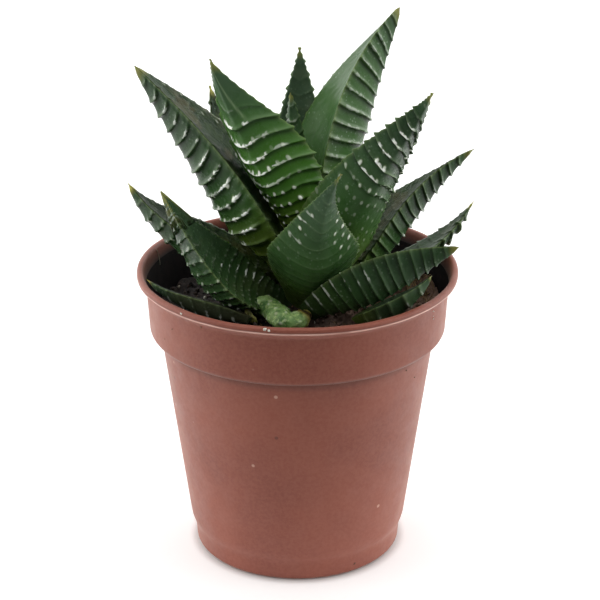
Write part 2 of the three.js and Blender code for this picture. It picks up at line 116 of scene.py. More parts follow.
# The same shapes as the solids have: foot, tip, bearing of the back, width, widest place, waist,
# taper, depth, bow and sway of the line, and roll.
LEAVES = {
    "leaf_front_short": dict(
        foot=(1.1, -5.1, 51.3), tip=(7.7, -18.8, 80.9), out=-78, width=16.5, widest=0.45,
        waist=0.42, taper=(1.15, 1.47), deep=0.33, line_bow=(-0.01, 0.08), sway=(-0.02, 0.16),
        roll=(-12, -2),
    ),
    "leaf_right_front_low": dict(
        foot=(1.4, -11.6, 52.6), tip=(28.7, -17.6, 66.7), out=-18, width=11, widest=0.46,
        waist=0.4, taper=(1.62, 0.87), deep=0.55, line_bow=(-0.13, -0.1), sway=(0.015, -0.02),
        roll=(-22, -23),
    ),
    "leaf_left_front_low": dict(
        foot=(-1, -5.5, 51.2), tip=(-24.1, -17.2, 77.1), out=202, width=13.5, widest=0.39,
        waist=0.28, taper=(1.47, 1.3), deep=0.45, line_bow=(0.115, 0.07), sway=(-0.035, -0.035),
        roll=(-26, -29),
    ),
    "leaf_right_front_broad": dict(
        foot=(4.8, -3.8, 52.9), tip=(23.3, -18.7, 95.7), out=-60, width=15, widest=0.25,
        waist=0.34, taper=(1.6, 1.1), deep=0.38, line_bow=(-0.185, -0.01), sway=(0.035, 0.01),
        roll=(-28, -24),
    ),
    "leaf_left_front_tall": dict(
        foot=(1.6, -2.6, 57.5), tip=(-15.4, -9.8, 99.1), out=238, width=14, widest=0.49,
        waist=0.29, taper=(1.45, 1.18), deep=0.42, line_bow=(-0.213, -0.008),
        sway=(-0.036, 0.013), roll=(24, 14),
    ),
    "leaf_left_tall": dict(
        foot=(1.6, -1.4, 53.7), tip=(-29.5, 1.7, 94.4), out=165, width=15.9, widest=0.335,
        waist=0.35, taper=(1.8, 0.92), deep=0.6, line_bow=(-0.18, -0.09), sway=(0.005, -0.004),
        roll=(-5, 12),
    ),
    "leaf_right_tall": dict(
        foot=(2.1, 2.2, 59.8), tip=(18.6, 8.2, 103.5), out=18, width=15, widest=0.45,
        waist=0.31, taper=(1.66, 0.85), deep=0.58, line_bow=(-0.217, -0.175),
        sway=(-0.008, 0.019), roll=(17, -28),
    ),
    "leaf_right_upper": dict(
        foot=(6.1, 0.2, 52.5), tip=(32.8, 5.2, 77.3), out=10, width=12.2, widest=0.35,
        waist=0.35, taper=(1.36, 1.05), deep=0.47, line_bow=(-0.113, -0.097),
        sway=(-0.027, -0.011), roll=(23, -32),
    ),
    "leaf_back_middle": dict(
        foot=(-0.3, 3.6, 57.8), tip=(0.4, 12.8, 94.6), out=88, width=8.9, widest=0.45,
        waist=0.35, taper=(1.56, 1.14), deep=0.42, line_bow=(0.01, 0.035), sway=(-0.023, 0.02),
        roll=(0, 0),
    ),
    "leaf_heart": dict(
        foot=(0.7, 0.7, 60.6), tip=(-1.3, 0.4, 89.7), out=250, width=5.3, widest=0.35,
        waist=0.35, taper=(1.68, 0.93), deep=0.42, line_bow=(-0.01, -0.01),
        sway=(-0.004, -0.018), roll=(0, 2),
    ),
    "leaf_left_outer": dict(
        foot=(-3.6, 1.9, 54.3), tip=(-31, -2, 73.1), out=186, width=11.5, widest=0.43,
        waist=0.36, taper=(1.56, 1.11), deep=0.46, line_bow=(-0.01, 0.107),
        sway=(0.002, -0.007), roll=(-8, 0),
    ),
    "leaf_right_back_low": dict(
        foot=(7.3, -1.5, 51.4), tip=(33.6, 12.7, 64.1), out=20, width=9.3, widest=0.4,
        waist=0.32, taper=(1.27, 1.2), deep=0.39, line_bow=(0.026, 0.123), sway=(0.02, 0.009),
        roll=(-9, -4),
    ),
    "leaf_back_left_tall": dict(
        foot=(-2.7, 3.4, 56), tip=(-16.5, 15.3, 86.4), out=145, width=9.9, widest=0.43,
        waist=0.34, taper=(1.52, 1.07), deep=0.42, line_bow=(0.026, 0.05), sway=(0.008, -0.006),
        roll=(-4, 0),
    ),
    "leaf_right_rim": dict(
        foot=(10.1, -14.4, 51.7), tip=(24.1, -16, 60.5), out=-25, width=7, widest=0.43,
        waist=0.35, taper=(1.52, 1.07), deep=0.42, line_bow=(-0.015, 0.074), sway=(0, 0),
        roll=(1, -1),
    ),
    "leaf_left_rim": dict(
        foot=(-8.5, -16.8, 52.6), tip=(-27.6, -8.2, 56.6), out=190, width=5.8, widest=0.4,
        waist=0.35, taper=(1.48, 1.11), deep=0.42, line_bow=(-0.063, 0.078),
        sway=(0.003, 0.002), roll=(-3, 0),
    ),
    "leaf_back_low": dict(
        foot=(-0.6, 4.6, 54.3), tip=(-5.9, 23.2, 74.3), out=101, width=10.7, widest=0.44,
        waist=0.33, taper=(1.5, 1.1), deep=0.4, line_bow=(-0.005, 0.026), sway=(0, 0),
        roll=(-2, 0),
    ),
    "leaf_back_outer": dict(
        foot=(1.7, 4.9, 52.4), tip=(6, 30.8, 73.1), out=76, width=11, widest=0.42, waist=0.35,
        taper=(1.5, 1.1), deep=0.42, line_bow=(0.044, 0.048), sway=(-0.004, -0.003),
        roll=(0, 0),
    ),
    "leaf_back_right_low": dict(
        foot=(7.2, 4.3, 52.3), tip=(15.6, 26, 65.3), out=55, width=9.8, widest=0.43, waist=0.34,
        taper=(1.5, 1.1), deep=0.42, line_bow=(0.04, 0.052), sway=(0.01, 0.005), roll=(-4, -1),
    ),
    "leaf_back_left_low": dict(
        foot=(-3.2, 4.2, 52.1), tip=(-13.1, 25, 71), out=122, width=11, widest=0.42, waist=0.34,
        taper=(1.5, 1.1), deep=0.42, line_bow=(0.04, 0.05), sway=(0.004, 0.002), roll=(3, 1),
    ),
}

LOOKS = {
    "leaf_left_front_tall": dict(
        first=0.72, pitch=0.0731, stretch=-0.001, lean=-0.0137, bow=0.0108, hook=0.0858,
        lively=0.8, lively_to=0.75, yellow=0.9, bead_below=0.46, bead_side=1, keel_line=0.8,
        smooth_above=0.76, gleams=((0.12, 0.45, 1.0, 0.45, 0.8), (-0.6, 0.12, 0.4, 0.45, 0.7)),
        light=(0.1, 0.3), stipple=0.08, dotty=0.64, sides=100,
    ),
    "leaf_left_tall": dict(
        first=0.7656, pitch=0.0549, stretch=0.0007, lean=0.0158, bow=0.0098, hook=-0.0393,
        span=(-0.84, 1.5), ridge=0.85, lively=0.3, yellow=0.8, bead_side=1,
        gleams=((-0.73, 0.11, 1.0, 0.26, 0.66), (-0.65, 0.08, 0.5, 0.66, 1.0),
                (-0.35, 0.1, 0.5, 0.2, 0.5)), dotty=0.5, sides=100,
    ),
    "leaf_right_front_broad": dict(
        first=0.758, pitch=0.0515, stretch=0.0003, lean=0.03, bow=-0.042, hook=0.039, ridge=1.1,
        lively=0.4, yellow=0.45, smooth_below=0.49, bead_below=0.57, bead_side=-1,
        fleck=0.25, smooth_above=0.86, gleams=((0.25, 0.2, 1.0, 0.68, 0.84),
                                              (0.4, 0.3, 1.0, 0.5, 0.68)),
        light=(0.15, 0.0), dotty=0.7, sides=100,
    ),
    "leaf_front_short": dict(
        pitch=0.05, ridge=0.08, pale=0.15, lively=0.3, lively_to=0.7, warts=(0.52, 0.76, 0.5, 0.8),
        fleck=0.5, gleams=((0.7, 0.15, 0.6, 0.6, 0.75),), light=(0.15, 0.2), sides=100,
    ),
    "leaf_right_tall": dict(
        first=0.8949, pitch=0.0502, stretch=0.0012, lean=0.0375, bow=0.0, ridge=0.75,
        lively=0.35, lively_to=0.9, yellow=0.4, dull=0.05, gleams=((0.5, 0.4, 0.25, 0.0, 1.0),),
        pale=0.25, upper_ridge=0.02, stipple=0.5, light=(0.12, 0.05), sides=100,
    ),
    "leaf_right_upper": dict(
        first=0.7517, pitch=0.0531, stretch=0.0007, lean=-0.0157, bow=0.0444, ridge=0.8,
        gleams=((0.2, 0.2, 0.5, 0.0, 1.0),), sides=80,
    ),
    "leaf_right_front_low": dict(
        first=0.659, pitch=0.067, lean=0.011, bow=0.0, ridge=0.7, yellow=0.1, lively=0.1, pale=0.1,
        gleams=((0.85, 0.1, 0.35, 0.0, 0.5),), sides=100,
    ),
    "leaf_left_front_low": dict(
        first=0.835, pitch=0.0705, stretch=-0.0012, lean=-0.055, bow=0.0, upper_ridge=0.3,
        ridge=0.4, yellow=0.1, lively=0.1, pale=0.15, calm=(0.05, 0.46),
        gleams=((-0.5, 0.2, 0.5, 0.55, 1.0),), ticks=(0.04, -2.0, 0.11, 0.6, 0.2, 0.5),
        bead_below=0.98, bead_white=0.3, bead_rise=2.2, dull=0.2, sides=100,
    ),
    "leaf_left_outer": dict(
        bead_below=0.9, bead_white=0.25, bead_rise=2.0, brown_tip=1.0, ridge=0.5,
        gleams=((-0.4, 0.3, 0.3, 0.4, 0.8),), sides=64,
    ),
    "leaf_right_back_low": dict(brown_tip=0.8, pitch=0.075, dull=0.2, sides=64),
    "leaf_back_left_tall": dict(brown_tip=1.0),
    "leaf_back_middle": dict(ridge=0.5, fleck=0.6, light=(0.5, 0.2), dull=0.2),
    "leaf_heart": dict(ridge=0.3, lively=0.4, lively_to=0.8, light=(0.3, 0.1)),
    "leaf_right_rim": dict(
        ridge=0.5, lively=0.08, lively_to=1.0, light=(0.2, 0.1), dull=0.2, sides=64,
    ),
    "leaf_left_rim": dict(
        ridge=0.12, yellow=0.0, lively=0.0, pale=0.1, light=(0.35, 0.0), worn=0.5, brown_tip=0.9,
        sides=64,
    ),
}


def srgb(red, green, blue):
    """A colour named by its 0 to 255 display values, as the shader wants it."""
    def linear(value):
        value /= 255
        return value / 12.92 if value <= 0.04045 else ((value + 0.055) / 1.055) ** 2.4
    return (linear(red), linear(green), linear(blue), 1.0)


def smooth_step(value, low, high):
    t = np.clip((value - low) / (high - low), 0, 1)
    return t * t * (3 - 2 * t)


def band(value, low, high, soft):
    """1 from low to high and 0 beyond them, with soft ends."""
    return smooth_step(value, low - soft, low + soft) * (
        1 - smooth_step(value, high - soft, high + soft))


def hump(value, centre, wide):
    """1 at the centre, and next to nothing at twice the width from it."""
    return np.exp(-((value - centre) / wide) ** 2)


def ripple(a, b, seed):
    """Smooth seeded noise over a and b, about -1 to 1."""
    draw = np.random.default_rng(seed)
    total = 0
    for octave in range(5):
        angle, phase, other = draw.uniform(0, 2 * math.pi, 3)
        pitch = 0.7 + 0.55 * octave
        total = total + np.sin(pitch * (a * math.cos(angle) + b * math.sin(angle)) + phase) * (
            0.55 + 0.2 * math.sin(other))
    return total / 2.2


def circle(sides):
    return np.linspace(0, 2 * math.pi, sides, endpoint=False)


def unit(vectors):
    return vectors / np.linalg.norm(vectors, axis=-1, keepdims=True)


# Mesh making
def add_mesh(name, points, faces, material, values=None, replaces=()):
    mesh = bpy.data.meshes.new(name)
    mesh.from_pydata((np.asarray(points) * MM).tolist(), [], faces)
    for key, value in (values or {}).items():
        held = mesh.attributes.new(key, "FLOAT", "POINT")
        held.data.foreach_set("value", np.ascontiguousarray(value, np.float32).ravel())
    mesh.polygons.foreach_set("use_smooth", [True] * len(mesh.polygons))
    mesh.update()
    piece = bpy.data.objects.new(name, mesh)
    bpy.context.scene.collection.objects.link(piece)
    mesh.materials.append(material)
    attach(piece, "root")
    if replaces:
        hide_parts(*replaces)
    return piece


def skin_faces(rows, sides):
    """Quads over rows of points, with fans to the two end points that follow them."""
    faces = []
    for row in range(rows - 1):
        low = row * sides
        for side in range(sides):
            after = (side + 1) % sides
            faces.append((low + side, low + after, low + sides + after, low + sides + side))
    top = (rows - 1) * sides
    first = rows * sides
    for side in range(sides):
        after = (side + 1) % sides
        faces.append((after, side, first))
        faces.append((top + side, top + after, first + 1))
    return faces


def add_skin(name, points, ends, material, values=None, at_ends=None, replaces=()):
    """A closed piece over rows of points, with one more point at each end, which holds values at
    each point. At the two ends they are at_ends, or else 0 and what the last row starts with."""
    rows, sides = points.shape[:2]
    held = {}
    for key, value in (values or {}).items():
        value = np.broadcast_to(value, (rows, sides))
        held[key] = np.append(value.ravel(), at_ends or (0, value[-1, 0]))
    return add_mesh(name, np.vstack([points.reshape(-1, 3), ends]), skin_faces(rows, sides),
                    material, held, replaces)


def add_bits(name, bits, material):
    """One piece of many small bits of soil, each given by its points, its faces and its tone."""
    points, faces, tones = [], [], []
    start = 0
    for bit, bit_faces, tone in bits:
        points.append(bit)
        faces += [tuple(v + start for v in face) for face in bit_faces]
        tones.append(np.full(len(bit), tone))
        start += len(bit)
    return add_mesh(name, np.vstack(points), faces, material,
                    dict(tone=np.concatenate(tones)))


def turned(profile, sides):
    """Rows of points from a profile of radius and height, turned about Z."""
    angles = circle(sides)
    radius = np.array([p[0] for p in profile])[:, None]
    height = np.array([p[1] for p in profile])[:, None] + 0 * angles
    return np.stack([radius * np.cos(angles), radius * np.sin(angles), height], -1)


def rounded(corners, steps=5):
    """A profile with each corner (radius, height, rounding) turned into a small arc."""
    out = []
    for index, (x, z, rounding) in enumerate(corners):
        here = np.array([x, z], float)
        if rounding == 0 or index in (0, len(corners) - 1):
            out.append(tuple(here))
            continue
        before = np.array(corners[index - 1][:2], float) - here
        after = np.array(corners[index + 1][:2], float) - here
        reach = min(rounding, 0.48 * np.hypot(*before), 0.48 * np.hypot(*after))
        start = here + before / np.hypot(*before) * reach
        end = here + after / np.hypot(*after) * reach
        for t in np.linspace(0, 1, steps + 1):
            out.append(tuple((1 - t) ** 2 * start + 2 * t * (1 - t) * here + t * t * end))
    return out


def finer(profile, gap):
    """The same profile with its points no further than about the gap apart."""
    out = []
    for (r0, z0), (r1, z1) in zip(profile, profile[1:]):
        steps = max(1, int(math.hypot(r1 - r0, z1 - z0) / gap))
        for t in (step / steps for step in range(steps)):
            out.append((r0 + (r1 - r0) * t, z0 + (z1 - z0) * t))
    return out + [profile[-1]]


def swept(line, wide, thick, angle, top=(0, 0, 1)):
    """Rows of points round a line, from its half width and half thickness at each angle. Its width
    runs square to the line and to the direction of the top."""
    along = unit(np.gradient(line, axis=0))
    side = unit(np.cross(top, along))
    up = np.cross(along, side)
    return (line[:, None] + side[:, None] * (wide * np.cos(angle))[..., None]
            + up[:, None] * (thick * np.sin(angle))[..., None])


def through(points, shares):
    """A smooth line through points, at shares of its run from 0 to 1."""
    points = np.asarray(points, float)
    last = len(points) - 1
    out = []
    for share in shares:
        at = min(share * last, last - 1e-9)
        k = int(at)
        t = at - k
        p1, p2 = points[k], points[k + 1]
        p0 = points[k - 1] if k > 0 else 2 * p1 - p2
        p3 = points[k + 2] if k + 2 <= last else 2 * p2 - p1
        out.append(0.5 * (2 * p1 + (p2 - p0) * t + (2 * p0 - 5 * p1 + 4 * p2 - p3) * t * t
                          + (3 * p1 - p0 - 3 * p2 + p3) * t ** 3))
    return np.array(out)


# Leaves
def leaf_line(leaf):
    foot, tip = np.array(leaf["foot"], float), np.array(leaf["tip"], float)
    chord = tip - foot
    length = np.linalg.norm(chord)
    along = chord / length
    bearing = math.radians(leaf["out"])
    inward = np.array([-math.cos(bearing), -math.sin(bearing), 1.0])
    up = inward - inward @ along * along
    up /= np.linalg.norm(up)
    across = np.cross(along, up)
    bow, sway = leaf["line_bow"], leaf["sway"]
    low = foot + chord * 0.34 - up * bow[0] * length + across * sway[0] * length
    high = foot + chord * 0.7 - up * bow[1] * length + across * sway[1] * length
    return (foot, low, high, tip), up, length


def leaf_frames(leaf, line, leaf_up, share):
    a, b, c, d = line
    t = share[..., None]
    place = (1 - t) ** 3 * a + 3 * (1 - t) ** 2 * t * b + 3 * (1 - t) * t * t * c + t ** 3 * d
    along = unit((1 - t) ** 2 * (b - a) + 2 * (1 - t) * t * (c - b) + t * t * (d - c))
    up = unit(leaf_up - np.sum(along * leaf_up, -1, keepdims=True) * along)
    across = np.cross(along, up)
    roll = np.radians(leaf["roll"][0] + (leaf["roll"][1] - leaf["roll"][0]) * t)
    turned_up = up * np.cos(roll) + across * np.sin(roll)
    turned_across = across * np.cos(roll) - up * np.sin(roll)
    return place, turned_up, turned_across


def leaf_outline(leaf, share):
    rise = np.sin(np.clip(share / leaf["widest"], 0, 1) * math.pi / 2) ** 1.15
    up = leaf["waist"] + (1 - leaf["waist"]) * rise
    run = np.clip((share - leaf["widest"]) / (1 - leaf["widest"]), 0, 1)
    down = (1 - run ** leaf["taper"][0]) ** leaf["taper"][1]
    return np.where(share < leaf["widest"], up, down)


def ridge_profile(u):
    """Height over one ridge spacing: a band that rises slowly from the tip side to a rounded cord,
    and falls steeply on the side of the foot."""
    slow = np.clip(1 - u / 0.8, 0, 1) ** 1.3
    fast = 0.5 + 0.5 * np.cos(math.pi * np.clip((1 - u) / 0.22, 0, 1))
    return 0.5 * np.maximum(slow, fast) + 0.5 * hump(np.minimum(u, 1 - u), 0, 0.12)


# Where the rows of points lie from one ridge to the next, closest at the cord
RIDGE_ROWS = (
    0, 0.03, 0.06, 0.09, 0.12, 0.16, 0.21, 0.29, 0.4, 0.54, 0.68, 0.77, 0.83, 0.87, 0.91, 0.94,
    0.97,
)


def ridge_rows(look, length):
    """Phases of the rows of points, whole at each ridge, and the share of the length of each."""
    pitch = look["pitch"] or RIDGE_SPACING / length
    stretch = look["stretch"]
    phases = np.array([k + step for k in range(-40, 60) for step in RIDGE_ROWS])
    middle = look["first"] + pitch * phases + stretch * phases * np.abs(phases)
    keep = (middle > 0.003) & (middle < 0.997)
    phases, middle = phases[keep], middle[keep]
    ends = (phases[0] - 0.1, phases[-1] + 0.1)
    return np.array([ends[0], *phases, ends[1]]), np.array([0, *middle, 1])


class LeafGrid:
    """The points round one leaf. Phase counts its ridges, and u is the way from one ridge to the
    next. Middle is the share of the leaf's length at the keel, share the one at the point itself,
    and x runs across from -1 to 1. The masks say where there are ridges, how strong they are, and
    where they break up into beads."""

    def __init__(self, leaf, look, length, seed):
        self.phase, self.middle = (v[:, None] for v in ridge_rows(look, length))
        self.number = np.round(self.phase)
        self.u = self.phase - np.floor(self.phase + 1e-9)
        self.near = np.minimum(self.u, 1 - self.u)
        angle = -circle(look["sides"])[None, :]
        self.x = np.cos(angle)
        self.upper = np.sin(angle) > 1e-9
        self.size = np.abs(self.x)
        self.place_points(leaf, look, length, seed)
        self.mask_ridges(look, seed)

    def place_points(self, leaf, look, length, seed):
        x, middle = self.x, self.middle
        fade = np.clip(6 * middle * (1 - middle), 0, 1)
        wobble = 0.12 * RIDGE_SPACING / length * ripple(self.phase * 0.9, x * 2.6, seed)
        shift = look["lean"] * x - look["bow"] * (1 - x * x) + look["hook"] * x ** 3 + wobble
        self.share = np.clip(middle + shift * fade, 0, 1)
        self.half = np.maximum(leaf["width"] / 2 * leaf_outline(leaf, self.share), 0.1)
        self.across = self.half * x

    def mask_ridges(self, look, seed):
        x, middle = self.x, self.middle
        self.ends = np.clip(middle * 7, 0, 1) * np.clip((1 - middle) * 6, 0.1, 1)
        self.broken = np.clip(0.85 + 0.5 * ripple(self.number * 2.1, x * 2.8, seed + 1), 0.3, 1.2)
        self.weight = np.where(self.upper, look["upper_ridge"] * (1 + 3 * self.size ** 2), 1.0)

        on_side = 0.85 * smooth_step(x * look["bead_side"], 0.4, 0.8)
        below = look["bead_below"]
        low = (below > 0) * (1 - smooth_step(middle, below - 0.12, below + 0.02))
        self.beady = np.maximum(on_side, low)

        below, above = look["smooth_below"], look["smooth_above"]
        low = (below > 0) * (1 - smooth_step(middle, below - 0.08, below + 0.06))
        self.smooth = np.maximum(low, smooth_step(middle, above - 0.03, above + 0.05))

        from_x, to_x = look["span"]
        inside = smooth_step(x, from_x - 0.1, from_x) * (1 - smooth_step(x, to_x, to_x + 0.1))
        calm_x, calm_share = look["calm"]
        calm = smooth_step(x, calm_x - 0.1, calm_x + 0.1) * smooth_step(
            middle, calm_share - 0.06, calm_share + 0.06)
        self.ridge_on = np.where(self.upper, 1, inside) * (1 - self.smooth) * (1 - 0.85 * calm)


def leaf_relief(grid, look, seed):
    """How far the ridges, beads, edge teeth and pores stand out of the plain skin."""
    wave = grid.number * 1.9 + 0.5 * ripple(grid.number, grid.x, seed + 2)
    bead = (0.5 + 0.5 * np.cos(2 * math.pi * grid.across / 1.3 + wave)) ** 1.4
    profile = ridge_profile(grid.u)
    solid_ridge = profile * grid.broken * (1 - grid.beady)
    bead_ridge = look["bead_rise"] * (0.35 * profile + 0.3 * hump(grid.near, 0, 0.2) * bead)
    relief = RIDGE_HEIGHT * look["ridge"] * grid.ends * grid.weight * grid.ridge_on * (
        solid_ridge + bead_ridge * grid.beady)
    wave = ripple(grid.phase, grid.x * 0, seed + 5)
    teeth = 0.5 + 0.5 * np.cos(2 * math.pi * grid.phase * 2 + 2 * wave)
    relief = relief + 0.2 * teeth * grid.size ** 14 * np.clip(grid.middle * 6, 0, 1)
    return relief + 0.035 * ripple(grid.phase * 3.1, grid.across * 2.1, seed + 3)


def leaf_section(grid, leaf):
    """Height of the plain skin over the leaf's line, and the two parts of its outward direction."""
    x, size, half = grid.x, grid.size, grid.half
    fullness = 1.9 - 0.65 * np.clip((grid.share - 0.25) / 0.6, 0, 1)
    keel = leaf["deep"] * 2 * half * (0.9 + 0.25 * (1 - grid.share))
    channel = CHANNEL * 2 * half
    edge = np.minimum(EDGE_HALF_THICKNESS, 0.5 * half) * np.sqrt(np.clip(1 - x * x, 0, 1))
    height = np.where(grid.upper, channel * (1 - x * x) + edge,
                      -(keel * (1 - size ** fullness) + edge))
    slope = np.where(grid.upper, 2 * channel * x,
                     keel * fullness * np.maximum(size, 1e-9) ** (fullness - 1) * np.sign(x))
    steep = np.hypot(slope, half)
    margin = size ** 8
    out_across = slope / steep * (1 - margin) + np.sign(x) * margin
    out_up = np.where(grid.upper, 1, -1) * half / steep * (1 - margin)
    return height, out_across, out_up


def painted_highlights(grid, look):
    """How bright the painted highlights are on the tops of the ridges on the back, and on the ticks
    on the upper side.
    """
    lips = 0
    for centre, half_wide, white, low, high in look["gleams"]:
        part = 1 - smooth_step(np.abs(grid.x - centre), half_wide, half_wide + 0.1)
        lips = lips + white * part * band(grid.middle, low, high, 0.03)
    lips = lips * grid.ridge_on * (1 - grid.beady) * grid.ends
    centre, turn, half_wide, white, low, high = look["ticks"]
    off = np.abs(grid.x - centre - turn * (grid.middle - 0.5))
    tick = (1 - smooth_step(off, half_wide, half_wide + 0.06)) * band(grid.middle, low, high, 0.02)
    return np.where(grid.upper, white * tick, lips)


def white_beads_and_glints(grid, look, lips):
    """How white the beads are on the beady parts, in flecks and on the warts, with painted glints
    in rows of dots along the lips.
    """
    low, high, from_x, strength = look["warts"]
    warts = strength * band(grid.middle, low, high, 0.05)
    warts = warts * smooth_step(grid.size, from_x - 0.1, from_x + 0.1)
    beads = np.where(grid.upper, 0.3, 1) * look["bead_white"] * grid.beady * grid.ridge_on
    beads = beads + 0.6 * look["fleck"] * grid.smooth
    beads = np.maximum(beads, np.where(grid.upper, 0, warts))
    # painted glints: below the dotty share the painted lip highlights become rows of dots
    dotty = 1 - smooth_step(grid.middle, look["dotty"] - 0.06, look["dotty"] + 0.06)
    return np.clip(np.maximum(beads, np.where(grid.upper, 0, lips * dotty)) * grid.ends, 0, 1)


def leaf_marks(grid, look, relief, seed):
    """Where each colour of the skin goes, and how strongly."""
    x, u, size, middle = grid.x, grid.u, grid.size, grid.middle
    lips = painted_highlights(grid, look)
    crest = hump(grid.near, 0, 0.1) * grid.broken * (1 - grid.beady) * grid.weight * grid.ridge_on
    patchy = np.clip(0.6 + 0.7 * ripple(grid.number * 1.3, x * 3, seed + 6), 0, 1)
    low_green = 1 - smooth_step(middle, look["lively_to"] - 0.3, look["lively_to"] + 0.25)
    keel_x = -0.13 - 1.22 * (0.95 - middle)
    return dict(
        phase=grid.phase,
        across=grid.across,
        # painted highlights on the ridge tops and on the ticks
        gleam=lips,
        beads=white_beads_and_glints(grid, look, lips),
        crest=(crest * patchy + 0.2 * grid.ridge_on * grid.weight * np.clip(1 - u / 0.5, 0, 1))
        * look["pale"] * np.clip(middle * 5, 0, 1),
        shine=np.clip(1.6 * relief / (RIDGE_HEIGHT * max(look["ridge"], 0.3)), 0, 1),
        # painted shade in the groove under each ridge's lip
        painted_groove_shade=grid.ridge_on * grid.weight * min(1.0, 1.3 * look["ridge"])
        * np.clip(middle * 5, 0, 1) * hump(u, 0.8, 0.17),
        upper=np.where(grid.upper, 1.0, 0.0) * smooth_step(1 - size, 0.0, 0.06) * look["dull"],
        margin=size ** 40 * np.clip(middle * 3, 0, 1),
        stipple=look["stipple"] * np.clip(middle * 4, 0, 1),
        worn=look["worn"] * (1 - smooth_step(middle, 0.62, 0.85)),
        lively=look["lively"] * low_green,
        yellow=look["yellow"] * (1 - smooth_step(middle, 0.05, 0.4)),
        shade=0.65 * (1 - smooth_step(middle, 0.06, 0.3)) * (1 - look["yellow"]),
        tip=look["brown_tip"] * smooth_step(middle, 0.93, 0.985),
        # painted light: paler skin over the whole leaf and more towards the tip
        light=look["light"][0] + look["light"][1] * smooth_step(middle, 0.55, 0.8),
        keel=look["keel_line"] * np.where(grid.upper, 0, hump(x, keel_x, 0.045))
        * smooth_step(middle, 0.72, 0.75) * (1 - smooth_step(middle, 0.92, 0.98)),
    )


def make_leaf(name, leaf, look, seed, material):
    line, leaf_up, length = leaf_line(leaf)
    grid = LeafGrid(leaf, look, length, seed)
    relief = leaf_relief(grid, look, seed)
    height, out_across, out_up = leaf_section(grid, leaf)
    place, up, across = leaf_frames(leaf, line, leaf_up, grid.share)
    points = (place + across * (grid.across + out_across * relief)[..., None]
              + up * (height + out_up * relief)[..., None])
    ends = [points[0].mean(0), points[-1].mean(0)]
    return add_skin(name + "_fine", points, ends, material,
                    leaf_marks(grid, look, relief, seed), None, [name])


# Shader helpers
def new_material(name):
    material = bpy.data.materials.new(name)
    material.use_nodes = True
    tree = material.node_tree
    tree.nodes.clear()
    shader = tree.nodes.new("ShaderNodeBsdfPrincipled")
    output = tree.nodes.new("ShaderNodeOutputMaterial")
    link(shader.outputs["BSDF"], output.inputs["Surface"])
    return material, tree, shader


def link(value, socket):
    value.id_data.links.new(value, socket)


def feed(socket, value):
    """Links a value to a socket where it comes from a node, or else sets the socket to it."""
    if isinstance(value, bpy.types.NodeSocket):
        link(value, socket)
    else:
        socket.default_value = value


def dress(shader, settings):
    """Feeds the shader's inputs, each by its name."""
    for name, value in settings.items():
        feed(shader.inputs[name], value)


def attribute(tree, name):
    node = tree.nodes.new("ShaderNodeAttribute")
    node.attribute_name = name
    return node.outputs["Fac"]


def place_of(tree):
    return tree.nodes.new("ShaderNodeTexCoord").outputs["Object"]


def axes_of(vector):
    """The X, Y and Z of a vector, each by its name."""
    node = vector.id_data.nodes.new("ShaderNodeSeparateXYZ")
    link(vector, node.inputs["Vector"])
    return node.outputs


def red_of(colour):
    node = colour.id_data.nodes.new("ShaderNodeSeparateColor")
    link(colour, node.inputs["Color"])
    return node.outputs["Red"]


def noise(tree, scale, detail=4.0, roughness=0.55):
    node = tree.nodes.new("ShaderNodeTexNoise")
    link(place_of(tree), node.inputs["Vector"])
    node.inputs["Scale"].default_value = scale
    node.inputs["Detail"].default_value = detail
    node.inputs["Roughness"].default_value = roughness
    return node.outputs["Fac"]


def spots(tree, scale):
    """Distance from the nearest of many scattered spots, and a number drawn for that spot."""
    node = tree.nodes.new("ShaderNodeTexVoronoi")
    link(place_of(tree), node.inputs["Vector"])
    node.inputs["Scale"].default_value = scale
    return node.outputs["Distance"], red_of(node.outputs["Color"])


def remap(value, low, high, to_low=0.0, to_high=1.0):
    node = value.id_data.nodes.new("ShaderNodeMapRange")
    node.interpolation_type = "SMOOTHSTEP"
    link(value, node.inputs["Value"])
    node.inputs["From Min"].default_value = low
    node.inputs["From Max"].default_value = high
    node.inputs["To Min"].default_value = to_low
    node.inputs["To Max"].default_value = to_high
    return node.outputs["Result"]


def blend(share, first, second):
    """Mixes two colours by a share from a node. Each is a colour, or comes from a node too."""
    node = share.id_data.nodes.new("ShaderNodeMix")
    node.data_type = "RGBA"
    inputs = {(socket.name, socket.type): socket for socket in node.inputs}
    feed(inputs["Factor", "VALUE"], share)
    feed(inputs["A", "RGBA"], first)
    feed(inputs["B", "RGBA"], second)
    return next(o for o in node.outputs if o.type == "RGBA")


def painted(colour, *layers):
    """A colour with layers over it, each a share and a colour. A share comes from a node, or is the
    name of a value that the mesh holds."""
    for share, layer in layers:
        if isinstance(share, str):
            share = attribute(colour.id_data, share)
        colour = blend(share, colour, layer)
    return colour


def math_node(kind, first, second=0.0):
    node = first.id_data.nodes.new("ShaderNodeMath")
    node.operation = kind
    feed(node.inputs[0], first)
    feed(node.inputs[1], second)
    return node.outputs["Value"]


def times(first, second):
    return math_node("MULTIPLY", first, second)


def plus(first, second):
    return math_node("ADD", first, second)


def bump(shader, height, distance, strength=1.0):
    node = shader.id_data.nodes.new("ShaderNodeBump")
    node.inputs["Strength"].default_value = strength
    node.inputs["Distance"].default_value = distance * MM
    link(height, node.inputs["Height"])
    link(node.outputs["Normal"], shader.inputs["Normal"])


def ridge_line(tree):
    """Where the painted highlight runs along the top of a ridge, from the count of ridges along the
    leaf.
    """
    ahead = plus(attribute(tree, "phase"), 0.5 - LIP_OFFSET)
    off = math_node("SUBTRACT", math_node("FRACT", ahead), 0.5)
    uneven = remap(noise(tree, 900, 1), 0.35, 0.65, 0.07, -0.03)
    off = plus(math_node("ABSOLUTE", off), uneven)
    return remap(off, 0.05, 0.12, 1.0, 0.0)


